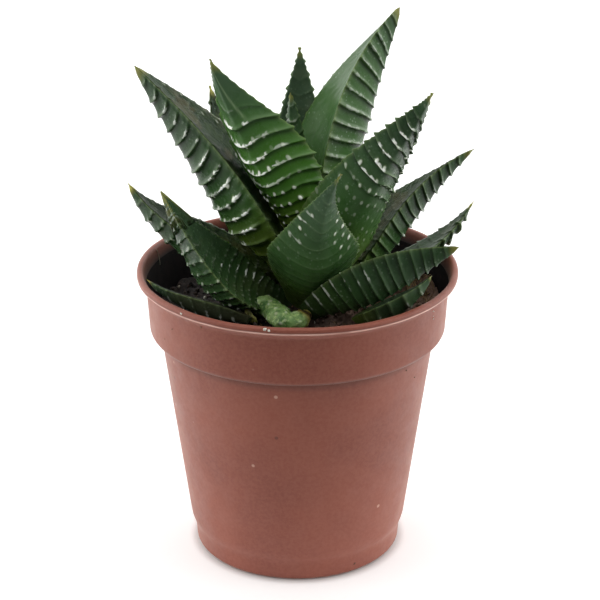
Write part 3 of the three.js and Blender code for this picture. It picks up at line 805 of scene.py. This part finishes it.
def bead_cells(tree):
    """Distance from the nearest bead of the rows that stand on the ridges, and a number drawn for
    it. Scattered beads lie half the scatter beyond the corners of their cells on average, so the
    cells are set back by that much along the leaf."""
    cells = tree.nodes.new("ShaderNodeTexVoronoi")
    cells.voronoi_dimensions = "2D"
    cells.inputs["Scale"].default_value = 1.0
    cells.inputs["Randomness"].default_value = BEAD_SCATTER
    both = tree.nodes.new("ShaderNodeCombineXYZ")
    link(times(attribute(tree, "across"), 1 / BEAD_GAP), both.inputs["X"])
    link(plus(attribute(tree, "phase"), BEAD_SCATTER / 2), both.inputs["Y"])
    link(both.outputs["Vector"], cells.inputs["Vector"])
    return cells.outputs["Distance"], red_of(cells.outputs["Color"])


# Materials
def leaf_material():
    material, tree, shader = new_material("leaf_skin")
    crinkle = noise(tree, 420, 4, 0.7)
    worn = blend(remap(crinkle, 0.42, 0.6), srgb(20, 38, 18), srgb(54, 68, 40))
    patches = remap(noise(tree, 170, 3), 0.5, 0.62, 0.0, 0.8)
    worn = blend(patches, worn, srgb(86, 72, 50))
    stipple = times(remap(spots(tree, 1300)[0], 0.12, 0.34, 1.0, 0.0),
                    remap(noise(tree, 260, 2), 0.42, 0.62))
    near, drawn = bead_cells(tree)
    beads = times(attribute(tree, "beads"), remap(drawn, 0.1, 0.5))
    # white beads, and painted glints where the painted highlights break into dots
    dots = times(beads, remap(near, 0.09, 0.2, 1.0, 0.0))
    # painted highlights along the tops of the ridges, broken up by noise
    gleam = times(attribute(tree, "gleam"), ridge_line(tree))
    gleam = times(gleam, remap(noise(tree, 420, 1), 0.4, 0.5))

    mottle = remap(noise(tree, 160, 5, 0.6), 0.3, 0.7)
    skin = painted(
        blend(mottle, srgb(33, 58, 30), srgb(51, 79, 45)),
        (remap(noise(tree, 45, 2, 0.5), 0.35, 0.7, 0, 0.5), srgb(56, 81, 56)),
        # painted light
        ("light", srgb(98, 122, 98)),
        ("lively", srgb(74, 128, 38)),
        ("yellow", srgb(128, 148, 46)),
        ("shade", srgb(22, 38, 20)),
        ("upper", worn),
        ("worn", srgb(78, 72, 52)),
        (times(stipple, attribute(tree, "stipple")), srgb(150, 172, 146)),
        # painted shade in the groove under each ridge's lip
        (times(attribute(tree, "painted_groove_shade"), 0.7), srgb(24, 40, 20)),
        (times(attribute(tree, "margin"), 0.5), srgb(130, 150, 96)),
        ("crest", srgb(150, 172, 132)),
        (times(attribute(tree, "keel"), 0.7), srgb(150, 176, 132)),
        (times(beads, remap(near, 0.1, 0.3, 0.6, 0.0)), srgb(128, 156, 92)),
        # white beads and painted glints
        (dots, srgb(240, 246, 232)),
        # painted highlights on the ridge tops
        (gleam, srgb(243, 248, 238)),
        ("tip", srgb(186, 178, 88)),
    )
    rough = plus(remap(noise(tree, 420, 3), 0.3, 0.7, 0.26, 0.38),
                 times(attribute(tree, "upper"), 0.45))
    rough = plus(rough, times(attribute(tree, "shine"), -0.16))
    dress(shader, {
        "Base Color": skin,
        "Emission Color": (0.94, 1.0, 0.92, 1.0),
        # the painted highlights and glints glow faintly
        "Emission Strength": times(plus(gleam, dots), 0.13),
        "Roughness": rough,
        "IOR": 1.5,
        "Specular IOR Level": 0.15,
        "Subsurface Weight": 0.08,
        "Subsurface Radius": (0.6, 1.0, 0.3),
        "Subsurface Scale": MM,
    })
    swell = times(beads, remap(near, 0.0, 0.32, 0.35, 0.0))
    pores = times(noise(tree, 900, 4, 0.6), 0.05)
    folds = times(times(crinkle, 1.1), attribute(tree, "upper"))
    bump(shader, plus(plus(swell, pores), folds), 1.0)
    return material


def pot_material():
    material, tree, shader = new_material("pot_plastic")
    near, drawn = spots(tree, 260)
    speck = remap(near, 0.06, 0.12, 1.0, 0.0)
    pale_speck = times(speck, math_node("GREATER_THAN", drawn, 0.89))
    dark_speck = times(speck, math_node("LESS_THAN", drawn, 0.05))
    # noise that breaks up the painted highlight along the lip
    worn = remap(noise(tree, 160, 2), 0.35, 0.6, 0.55, 1.0)
    cloud = remap(noise(tree, 55, 3, 0.5), 0.3, 0.7)
    clay = painted(
        blend(cloud, srgb(134, 68, 52), srgb(148, 78, 59)),
        (remap(noise(tree, 1500, 4, 0.7), 0.35, 0.65, 0.0, 0.22), srgb(176, 108, 86)),
        (times(pale_speck, 0.55), srgb(222, 180, 160)),
        (times(dark_speck, 0.6), srgb(82, 46, 40)),
        ("inside", srgb(12, 8, 10)),
        # painted shade under the collar
        ("painted_collar_shade", srgb(72, 36, 28)),
        (times(attribute(tree, "under_lip"), 0.8), srgb(112, 58, 46)),
        # painted highlight: a bright line along the lip
        (times(attribute(tree, "lip"), worn), srgb(255, 212, 198)),
    )
    dress(shader, {
        "Base Color": clay,
        "Roughness": remap(noise(tree, 300, 3), 0.3, 0.7, 0.42, 0.54),
        "IOR": 1.48,
        "Sheen Weight": 0.25,
        "Sheen Roughness": 0.4,
        "Sheen Tint": (1.0, 0.7, 0.58, 1.0),
    })
    bump(shader, noise(tree, 700, 4, 0.6), 0.04, 0.35)
    return material


def wall_material():
    """The inner wall of the pot, near black with a few paler marks."""
    material, tree, shader = new_material("pot_inner_wall")
    wall_mottle = noise(tree, 260, 5, 0.65)
    wall = painted(
        blend(remap(wall_mottle, 0.35, 0.7), srgb(10, 6, 9), srgb(30, 20, 22)),
        (remap(noise(tree, 900, 3), 0.6, 0.75, 0, 0.5), srgb(70, 50, 46)),
    )
    dress(shader, {"Base Color": wall, "Roughness": 0.8, "Specular IOR Level": 0.2})
    bump(shader, wall_mottle, 0.15, 0.6)
    return material


def drier_right(tree):
    """A layer for soil, which gets drier and paler to the right of the stem."""
    dry = remap(axes_of(place_of(tree))["X"], -6 * MM, 14 * MM, 0.0, 0.55)
    return dry, srgb(146, 114, 96)


def soil_material():
    material, tree, shader = new_material("soil_crumb")
    grain = noise(tree, 620, 6, 0.7)
    earth = painted(
        blend(remap(grain, 0.35, 0.75), srgb(20, 15, 17), srgb(58, 44, 38)),
        (remap(noise(tree, 120, 3, 0.6), 0.4, 0.75, 0, 0.6), srgb(34, 25, 26)),
        drier_right(tree),
    )
    dress(shader, {"Base Color": earth, "Roughness": 0.85})
    bump(shader, grain, 0.35, 0.9)
    return material


def crumb_material():
    """Soil by its tone, with bits of bark above 0.9 and perlite above 0.97."""
    material, tree, shader = new_material("soil_bits")
    tone = attribute(tree, "tone")
    grain = noise(tree, 900, 4, 0.6)
    earth = painted(
        blend(remap(tone, 0.0, 0.6), srgb(24, 18, 20), srgb(64, 50, 44)),
        drier_right(tree),
        (remap(tone, 0.9, 0.94), srgb(124, 98, 74)),
        (remap(tone, 0.97, 0.975), srgb(232, 228, 216)),
        (remap(grain, 0.4, 0.7, 0, 0.35), srgb(40, 28, 26)),
    )
    dress(shader, {"Base Color": earth, "Roughness": 0.8})
    bump(shader, grain, 0.12, 0.7)
    return material


def fibre_material():
    material, tree, shader = new_material("rootlet")
    tone = attribute(tree, "tone")
    fibre = painted(
        blend(tone, srgb(96, 70, 44), srgb(186, 158, 106)),
        (remap(tone, 0.9, 0.95), srgb(222, 216, 200)),
        (remap(noise(tree, 700), 0.4, 0.7, 0, 0.4), srgb(70, 50, 36)),
    )
    dress(shader, {"Base Color": fibre, "Roughness": 0.6})
    return material


def stub_material():
    material, tree, shader = new_material("stub_skin")
    mottle = noise(tree, 260, 5, 0.65)
    near, drawn = spots(tree, 620)
    dots = times(remap(near, 0.16, 0.34, 1.0, 0.0), math_node("GREATER_THAN", drawn, 0.55))
    husk = blend(remap(mottle, 0.4, 0.6), srgb(112, 98, 44), srgb(190, 178, 92))
    skin = painted(
        blend(remap(mottle, 0.35, 0.65), srgb(72, 118, 52), srgb(150, 184, 112)),
        (times(dots, 0.8), srgb(196, 208, 164)),
        ("bead", srgb(240, 244, 224)),
        (remap(noise(tree, 1700, 3, 0.6), 0.5, 0.66, 0.0, 0.75), srgb(190, 214, 140)),
        ("withered", husk),
        ("dark", srgb(50, 34, 20)),
    )
    dress(shader, {
        "Base Color": skin,
        "Roughness": 0.34,
        "Subsurface Weight": 0.2,
        "Subsurface Radius": (0.8, 1.0, 0.4),
        "Subsurface Scale": MM,
    })
    wrinkles = times(noise(tree, 700, 4, 0.6), 0.6)
    bump(shader, plus(wrinkles, times(dots, 0.15)), 1.0)
    return material


def stem_material():
    material, tree, shader = new_material("stem_bark")
    rings = remap(noise(tree, 500, 4), 0.3, 0.7)
    bark = blend(rings, srgb(74, 74, 40), srgb(128, 122, 78))
    dress(shader, {"Base Color": bark, "Roughness": 0.7})
    bump(shader, noise(tree, 600, 4, 0.6), 0.2, 0.8)
    return material


# The pot's profile, with the radius, height and rounding of each corner, from the foot up the
# outside, over the lip and down the inside
POT_CORNERS = (
    (0, 0, 0), (19.1, 0, 0), (19.6, 0.5, 0.5), (19.85, 3.8, 1.6), (20.6, 5.5, 2.0),
    (25.8, 43.4, 0.15), (26.1, 43.75, 0.2), (27.4, 43.95, 0.3), (27.8, 44.5, 0.4),
    (28.4, 53.8, 0.7), (29.5, 54.55, 0.2), (29.85, 54.75, 0), (30, 54.9, 0), (30.02, 55.03, 0),
    (30, 55.15, 0), (29.98, 55.27, 0), (30, 55.4, 0), (30, 55.7, 0.4), (29.6, POT_HEIGHT, 0.3),
    (29.0, POT_HEIGHT, 0.3), (28.7, 55.4, 0.4), (26.9, 45.2, 1.0), (24.9, 44.3, 0.6),
    (19.7, 5.5, 0.8), (18.95, 4.2, 0.6), (18.2, POT_FLOOR, 0.5), (0, POT_FLOOR, 0),
)


def make_pot(material, wall):
    """The pot, with rounded edges and a lip that isn't quite even, and its dark inner wall."""
    sides = 180
    points = turned(finer(rounded(POT_CORNERS), 1.6)[1:-1], sides)
    level = points[..., 2].copy()
    angle = circle(sides)
    uneven = 0.07 * np.sin(3 * angle + 1) + 0.05 * np.sin(7 * angle) + 0.025 * np.sin(23 * angle)
    points[..., 2] += smooth_step(level, 53.5, POT_HEIGHT) * uneven
    radius = np.hypot(points[..., 0], points[..., 1])
    top_row = int(np.argmax(points[:, 0, 2]))
    outside = np.arange(len(points))[:, None] <= top_row
    on_lip = outside * smooth_step(radius, 29.4, 29.8)
    # painted shade under the collar: along its foot and on the body just below it
    painted_collar_shade = 0.55 * hump(level, COLLAR_FOOT, 0.3) + 0.5 * hump(level, COLLAR_FOOT - 0.8, 0.4)
    values = dict(
        inside=~outside * smooth_step(POT_HEIGHT - points[..., 2], 0.3, 2.2),
        # painted highlight: a bright line along the lip
        lip=on_lip * hump(level, LIP_LINE, 0.13),
        under_lip=on_lip * hump(level, LIP_LINE + 0.27, 0.1),
        painted_collar_shade=outside * (radius > 19) * painted_collar_shade,
    )
    piece = add_skin("pot_fine", points, [(0, 0, 0), (0, 0, POT_FLOOR)], material, values,
                     None, ["pot"])
    piece.data.materials.append(wall)
    wall_row = top_row + 1 + int(np.argmax(level[top_row + 1:, 0] < 54.4))
    which = np.zeros(len(piece.data.polygons), int)
    which[wall_row * sides:(len(points) - 1) * sides] = 1
    piece.data.polygons.foreach_set("material_index", which)


# Soil
def soil_height(x, y):
    dip = SOIL_DIP * smooth_step(0.3 * y - 0.95 * x, 5, 26)
    crumbs = (0.28 * np.sin(1.3 * x + 0.4 * y) + 0.22 * np.sin(1.7 * y - 0.6 * x + 1)
              + 0.16 * np.sin(2.9 * x + 2.3 * y))
    return SOIL_LEVEL - dip + crumbs


def make_soil(material):
    sides = 220
    angle = circle(sides)
    below = [(17.85, SOIL_FOOT), (18.6, 4.4), (19.35, 5.8), (24.55, 44.6), (SOIL_RADIUS, 45.6)]
    rows = list(turned(below, sides))
    for radius in np.linspace(SOIL_RADIUS, 0.4, 96):
        x, y = radius * np.cos(angle), radius * np.sin(angle)
        rough = (0.22 * ripple(x * 3.2, y * 3.2, 21) + 0.16 * ripple(x * 7.5, y * 7.5, 22)
                 + 0.08 * ripple(x * 15, y * 15, 23))
        rows.append(np.stack([x, y, soil_height(x, y) + rough], -1))
    ends = [(0, 0, SOIL_FOOT), (0, 0, float(soil_height(0.0, 0.0)))]
    add_skin("soil_fine", np.array(rows), ends, material, replaces=["soil"])


def pebble(size, seed):
    """Points and faces of one lumpy crumb round the origin."""
    rings, sides = 5, 8
    draw = np.random.default_rng(seed)
    stretch = draw.uniform(0.6, 1.25, 3)
    tilt = np.linspace(0, math.pi, rings + 2)[1:-1, None]
    angle = circle(sides)[None, :]
    lumps = 1 + 0.22 * draw.standard_normal((rings, sides))
    points = np.stack([np.sin(tilt) * np.cos(angle) * lumps, np.sin(tilt) * np.sin(angle) * lumps,
                       -np.cos(tilt) * lumps], -1).reshape(-1, 3)
    points = np.vstack([points, [[0, 0, -1], [0, 0, 1]]]) * stretch * size
    spin = draw.uniform(0, 2 * math.pi, 3)
    for axis in range(3):
        a, b = (axis + 1) % 3, (axis + 2) % 3
        c, s = math.cos(spin[axis]), math.sin(spin[axis])
        first, second = points[:, a].copy(), points[:, b].copy()
        points[:, a], points[:, b] = c * first - s * second, s * first + c * second
    return points, skin_faces(rings, sides)


def make_crumbs(material):
    bits = []
    for index in range(CRUMBS):
        radius = 26.0 * math.sqrt(rng.random())
        angle = rng.uniform(0, 2 * math.pi)
        size = 0.14 + 0.42 * rng.random() ** 3
        tone = rng.random()
        if tone > 0.97:
            size = 0.15 + 0.25 * rng.random()
        x, y = radius * math.cos(angle), radius * math.sin(angle)
        points, faces = pebble(size, 1000 + index)
        points += (x, y, float(soil_height(x, y)) + 0.25 * size + 0.12)
        bits.append((points, faces, tone))
    add_bits("soil_crumbs", bits, material)


# The outline of the pot's outside, by height and radius, and the specks of soil and perlite that
# stick to it, by bearing, height, size and tone
WALL_HEIGHTS = (0.5, 3.8, 5.5, 43.4, 43.95, 44.5, 53.8, 54.6, 55.0, POT_HEIGHT)
WALL_RADII = (19.5, 19.8, 20.6, 25.8, 27.4, 27.8, 28.4, 29.5, 30.0, 30.0)
SPECKS = (
    (-133.7, 55.6, 0.2, 0.99), (-127.3, 53.3, 0.16, 0.95), (-143.7, 50.4, 0.18, 0.93),
    (-101.0, 55.9, 0.34, 0.99), (-99.6, 55.7, 0.24, 0.99), (-29.4, 52.7, 0.16, 0.99),
    (-28.9, 51.6, 0.14, 0.98), (-28.7, 51.0, 0.15, 0.99), (-39.0, 41.9, 0.15, 0.95),
    (-31.3, 39.1, 0.14, 0.95), (-150.2, 47.2, 0.13, 0.93), (-56.7, 1.75, 0.24, 0.1),
    (35.0, 50.5, 0.17, 0.98), (121.0, 52.2, 0.15, 0.95), (171.0, 46.4, 0.16, 0.98),
)


def make_dust(material):
    bits = []
    for index, (bearing, z, size, tone) in enumerate(SPECKS):
        radius = float(np.interp(z, WALL_HEIGHTS, WALL_RADII))
        turn = math.radians(bearing)
        points, faces = pebble(size, 7000 + index)
        points *= (1, 1, 0.8)
        points += (radius * math.cos(turn), radius * math.sin(turn), z)
        bits.append((points, faces, tone))
    add_bits("pot_dust", bits, material)


def tube(line, radius, sides=5):
    """Points and faces of a rootlet along a line, thinner towards its end."""
    line = np.asarray(line, float)
    thin = radius * np.linspace(1, 0.45, len(line))[:, None]
    points = swept(line, thin, thin, circle(sides), ROOTLET_TOP)
    return np.vstack([points.reshape(-1, 3), line[:1], line[-1:]]), skin_faces(len(line), sides)


def wander(start, heading, length, bend, lift, steps=14):
    """A rootlet's line: it wanders over the soil from start, lifted off it in the middle."""
    line = []
    x, y = start
    turn = heading
    for step in range(steps):
        t = step / (steps - 1)
        line.append((x, y, float(soil_height(x, y)) + 0.25 + lift * math.sin(math.pi * t)))
        turn += rng.normal(0, bend)
        x += length / steps * math.cos(turn)
        y += length / steps * math.sin(turn)
    return line


def hair_line():
    """The line of a hair that hangs on the inner wall at the left."""
    line = []
    for share in np.linspace(0, 1, 12):
        turn = math.radians(160.3 - 0.8 * math.sin(2.6 * share))
        z = 55.5 - 3.2 * share
        reach = float(np.interp(z, (45.2, 55.4), (26.9, 28.7))) - 0.12
        line.append((reach * math.cos(turn), reach * math.sin(turn), z))
    return line


def make_fibres(material):
    """Loose fibres all over, a pale rootlet at the front left, a tangle of fine roots by the wall
    at the right, and the hair. Each is a line, a thickness and a tone."""
    fibres = []
    for _ in range(FIBRES):
        radius, angle = 25 * math.sqrt(rng.random()), rng.uniform(0, 2 * math.pi)
        spot = (radius * math.cos(angle), radius * math.sin(angle))
        fibres.append((wander(spot, rng.uniform(0, 6.3), rng.uniform(1.2, 4), 0.5,
                              rng.uniform(0, 0.6)), 0.045, 0.85 * rng.random()))
    fibres.append((wander((-15.6, -11.0), -0.9, 4.2, 0.25, 0.8), 0.08, 0.92))
    for _ in range(TANGLED_ROOTS):
        spot = (rng.uniform(20.5, 24.5), rng.uniform(-4.5, 3.5))
        fibres.append((wander(spot, rng.uniform(0, 6.3), rng.uniform(2, 4.5), 0.6,
                              rng.uniform(0.3, 2.6)), 0.055, rng.uniform(0.2, 0.85)))
    fibres = [([p for p in line if math.hypot(p[0], p[1]) < 26.3], thickness, tone)
              for line, thickness, tone in fibres]
    fibres.append((hair_line(), 0.07, 0.97))
    bits = [(*tube(line, thickness), tone) for line, thickness, tone in fibres if len(line) > 3]
    add_bits("soil_fibres", bits, material)


# The stub of a shed leaf, the withered flap beside it, and the stem
STUB_LINE = (
    (-7.8, -10, 52.2), (-5.7, -12.2, 52.9), (-4, -14.7, 52.8), (-2.8, -17.1, 52.5),
    (-1.1, -17.8, 52.3), (0.5, -16.2, 52.2), (1.6, -13.4, 52),
)
FLAP_LINE = (
    (-7.8, -9.2, 52.6), (-8.9, -11.0, 53.1), (-9.3, -13.0, 52.6), (-8.6, -14.6, 51.8),
    (-7.3, -15.4, 51.1),
)


def make_stub(material):
    rows, sides = 90, 48
    t = np.linspace(0, 1, rows)[:, None]
    angle = circle(sides)[None, :]
    line = through(STUB_LINE, t[:, 0])
    full = (0.8 + 0.2 * np.sin(math.pi * t) ** 0.6) * (1 - 0.35 * t ** 3) + 0.05 * np.sin(17 * t)
    full = full * (0.55 + 0.45 * smooth_step(t, 0, 0.06))
    full = full * (0.5 + 0.5 * smooth_step(1 - t, 0, 0.05))
    lumps = 0.12 * ripple(t * 26, angle * 1.4, 71) + 0.07 * ripple(t * 60, angle * 4, 72)
    wart = (0.5 + 0.5 * np.cos(2 * math.pi * t * 7)) * (0.5 + 0.5 * np.cos(5 * angle + 7 * t))
    wart = wart ** 3
    lumps = lumps + 0.2 * wart
    points = swept(line, 2.25 * full + lumps, 1.95 * full + lumps, angle)
    place = t + 0.05 * ripple(angle, t * 4, 73)
    values = dict(
        withered=np.maximum(smooth_step(place, 0.74, 0.84), 1 - smooth_step(place, 0.03, 0.1)),
        dark=smooth_step(place, 0.8, 0.86) * (1 - smooth_step(place, 0.9, 0.95)),
        bead=np.clip(wart ** 5, 0, 1) * smooth_step(t, 0.08, 0.15),
    )
    add_skin("leaf_stub_fine", points, [line[0], line[-1]], material, values, (0.6, 0.9),
             ["leaf_stub"])


def make_flap(material):
    """A thin withered leaf base, curled round the thick end of the stub."""
    rows, sides = 40, 16
    t = np.linspace(0, 1, rows)[:, None]
    angle = circle(sides)[None, :]
    line = through(FLAP_LINE, t[:, 0])
    full = np.sin(math.pi * np.clip(t, 0.03, 0.97)) ** 0.5 + 0.1 * ripple(t * 20, angle, 81)
    dark = 0.55 * smooth_step(ripple(t * 9, angle, 82), -0.2, 0.8)
    add_skin("withered_flap", swept(line, 0.42 * full, 1.25 * full, angle), [line[0], line[-1]],
             material, dict(withered=0.75, dark=dark, bead=0.0), (0.7, 0.7))


def make_stem(material):
    profile = rounded([
        (0, STEM_FOOT, 0), (1.6, STEM_FOOT, 0.4), (2.1, 45, 0.5), (2.1, 55.6, 0.5),
        (1.6, STEM_TOP, 0.5), (0, STEM_TOP, 0),
    ])
    points = turned(finer(profile, 0.3)[1:-1], 40)
    scars = 0.1 * np.sin(points[..., 2] * 3.3 + np.arctan2(points[..., 1], points[..., 0]))
    points[..., :2] *= 1 + 0.35 * (scars[..., None] - 0.1)
    add_skin("stem_fine", points, [(0, 0, STEM_FOOT), (0, 0, STEM_TOP)], material,
             replaces=["stem"])


# The scene: pale floor, soft light, camera
def make_floor():
    """A white table with a painted pool of light round the pot: it darkens away from the pot,
    towards the viewer, and glows a little just in front of the pot, less right by its foot, where
    that paints a contact shadow.
    """
    material, tree, shader = new_material("pale_floor")
    depth = axes_of(place_of(tree))["Y"]
    # painted pool of light: white by the pot, grey towards the viewer
    white = remap(depth, -130 * MM, -28 * MM)
    pale = blend(white, (0.36, 0.36, 0.36, 1), (0.9, 0.9, 0.9, 1))
    flat = tree.nodes.new("ShaderNodeVectorMath")
    flat.operation = "LENGTH"
    link(place_of(tree), flat.inputs[0])
    # painted contact shadow: the glow fades close to the pot's foot
    painted_contact_shadow = remap(flat.outputs["Value"], 19.5 * MM, 21.4 * MM, 0.1, 1.0)
    glow = remap(depth, -50 * MM, -22 * MM, 0.0, 0.36)
    dress(shader, {
        "Base Color": pale,
        "Emission Strength": times(glow, painted_contact_shadow),
        "Emission Color": (1, 1, 1, 1),
        "Roughness": 0.9,
    })
    mesh = bpy.data.meshes.new("floor")
    reach = FLOOR_REACH * MM
    corners = [(x * reach, y * reach, -0.2 * MM) for x, y in ((-1, -1), (1, -1), (1, 1), (-1, 1))]
    mesh.from_pydata(corners, [], [(0, 1, 2, 3)])
    floor = bpy.data.objects.new("floor", mesh)
    bpy.context.scene.collection.objects.link(floor)
    mesh.materials.append(material)


def make_world():
    """White all round and overhead, dimmer straight behind the plant, and dim on the side that its
    front faces."""
    world = bpy.data.worlds.new("studio")
    bpy.context.scene.world = world
    world.use_nodes = True
    tree = world.node_tree
    background = tree.nodes["Background"]
    heading = axes_of(tree.nodes.new("ShaderNodeTexCoord").outputs["Generated"])
    around = remap(heading["Y"], -0.84, -0.1, 0.02, 2.75)
    behind = remap(heading["Y"], 0.6, 0.95, 1.0, 0.45)
    above = remap(heading["Z"], 0.2, 0.8, 1.0, 0.4)
    strength = times(times(around, behind), above)
    link(strength, background.inputs["Strength"])
    background.inputs["Color"].default_value = (1.0, 1.0, 0.99, 1)


def add_light(name, place, target, size, power):
    light = bpy.data.lights.new(name, "AREA")
    light.size = size * MM
    light.energy = power
    lamp = bpy.data.objects.new(name, light)
    bpy.context.scene.collection.objects.link(lamp)
    lamp.location = [length * MM for length in place]
    heading = Vector(target) - Vector(place)
    lamp.rotation_euler = heading.to_track_quat("-Z", "Y").to_euler()


def make_camera():
    """The camera of the photograph, turned to the right a little, as the pot stands left of its
    middle."""
    camera = bpy.data.cameras.new("camera")
    camera.sensor_width = SENSOR
    camera.lens = SENSOR * FOCAL_PIXELS / FRAME_PIXELS
    camera.clip_start = 10 * MM
    view = bpy.data.objects.new("camera", camera)
    bpy.context.scene.collection.objects.link(view)
    view.location = [length * MM for length in CAMERA_PLACE]
    turn = math.atan((FRAME_PIXELS / 2 - AXIS_COLUMN) / FOCAL_PIXELS)
    view.rotation_euler = (math.pi / 2 - CAMERA_DOWN, 0, -turn)
    bpy.context.scene.camera = view


leaf_skin = leaf_material()
for order, (name, leaf) in enumerate(LEAVES.items()):
    look = {**PLAIN_LOOK, **LOOKS.get(name, {})}
    make_leaf(name, leaf, look, 100 + 10 * order, leaf_skin)
make_pot(pot_material(), wall_material())
make_soil(soil_material())
crumb_skin = crumb_material()
make_crumbs(crumb_skin)
make_dust(crumb_skin)
make_fibres(fibre_material())
stub_skin = stub_material()
make_stub(stub_skin)
make_flap(stub_skin)
make_stem(stem_material())
make_floor()
make_world()
add_light("key", (-200, -420, 450), (0, 0, 60), 40, 0.16)
make_camera()
bpy.context.scene.view_settings.view_transform = "Standard"
